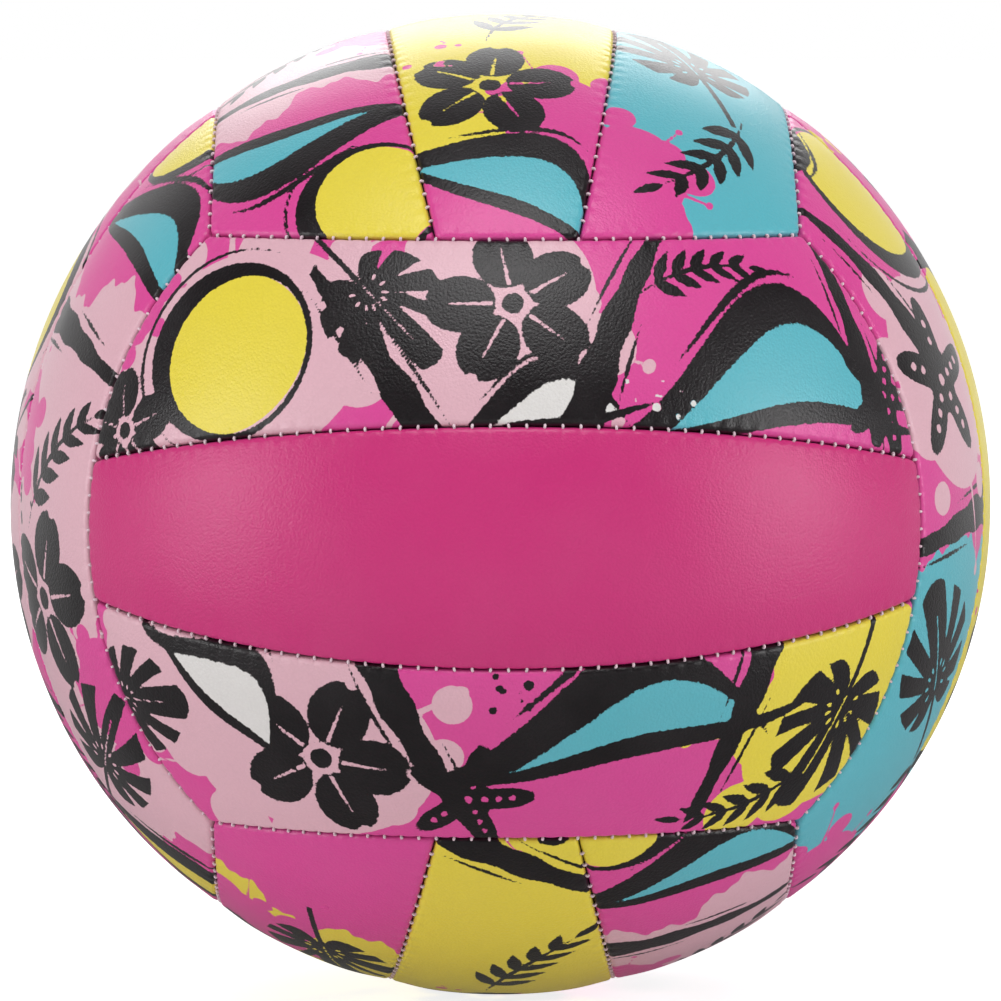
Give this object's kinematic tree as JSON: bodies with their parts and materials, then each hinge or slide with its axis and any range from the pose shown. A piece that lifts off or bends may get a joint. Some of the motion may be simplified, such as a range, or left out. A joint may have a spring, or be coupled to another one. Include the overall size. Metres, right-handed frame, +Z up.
{
  "type": "volleyball",
  "caption": "Soft inflated volleyball of stitched padded panels in six faces of three strips, with an air bladder and a push-in valve core.",
  "frame": {"origin": "centre of the ball", "axes": "-Y through the centre of the plain middle panel, +Y out of the valve, +Z up; the strips of the front face run along X"},
  "size_m": [0.21, 0.2099, 0.21],
  "materials": {
    "printed_cover": "printed soft synthetic leather, fine grain, semi-gloss, in magenta, pale pink, yellow, turquoise, black and white",
    "plain_cover": "plain magenta soft synthetic leather, fine grain, semi-gloss",
    "foam": "closed-cell foam sheet, matt",
    "lining": "woven polyester lining, matt",
    "thread": "waxed polyester sewing thread, pale",
    "bladder": "butyl rubber, satin",
    "valve": "moulded rubber, satin"
  },
  "bodies": {
    "ball": {"front_upper_cover": "printed_cover", "front_middle_cover": "plain_cover", "front_lower_cover": "printed_cover", "back_upper_cover": "printed_cover", "back_middle_cover": "printed_cover", "back_lower_cover": "printed_cover", "left_back_cover": "printed_cover", "left_middle_cover": "printed_cover", "left_front_cover": "printed_cover", "right_front_cover": "printed_cover", "right_middle_cover": "printed_cover", "right_back_cover": "printed_cover", "bottom_right_cover": "printed_cover", "bottom_middle_cover": "printed_cover", "bottom_left_cover": "printed_cover", "top_right_cover": "printed_cover", "top_middle_cover": "printed_cover", "top_left_cover": "printed_cover", "front_upper_foam": "foam", "front_middle_foam": "foam", "front_lower_foam": "foam", "back_upper_foam": "foam", "back_middle_foam": "foam", "back_lower_foam": "foam", "left_back_foam": "foam", "left_middle_foam": "foam", "left_front_foam": "foam", "right_front_foam": "foam", "right_middle_foam": "foam", "right_back_foam": "foam", "bottom_right_foam": "foam", "bottom_middle_foam": "foam", "bottom_left_foam": "foam", "top_right_foam": "foam", "top_middle_foam": "foam", "top_left_foam": "foam", "front_upper_lining": "lining", "front_middle_lining": "lining", "front_lower_lining": "lining", "back_upper_lining": "lining", "back_middle_lining": "lining", "back_lower_lining": "lining", "left_back_lining": "lining", "left_middle_lining": "lining", "left_front_lining": "lining", "right_front_lining": "lining", "right_middle_lining": "lining", "right_back_lining": "lining", "bottom_right_lining": "lining", "bottom_middle_lining": "lining", "bottom_left_lining": "lining", "top_right_lining": "lining", "top_middle_lining": "lining", "top_left_lining": "lining", "end_seam_thread": "thread", "strip_seam_thread": "thread", "bladder": "bladder", "valve_housing": "valve"},
    "valve_core": {"valve_core": "valve"}
  },
  "joints": [
    {"name": "valve_core_slide", "type": "slide", "parent": "ball", "child": "valve_core", "axis": [0, 1, 0], "range_m": [0, 0.03]}
  ]
}
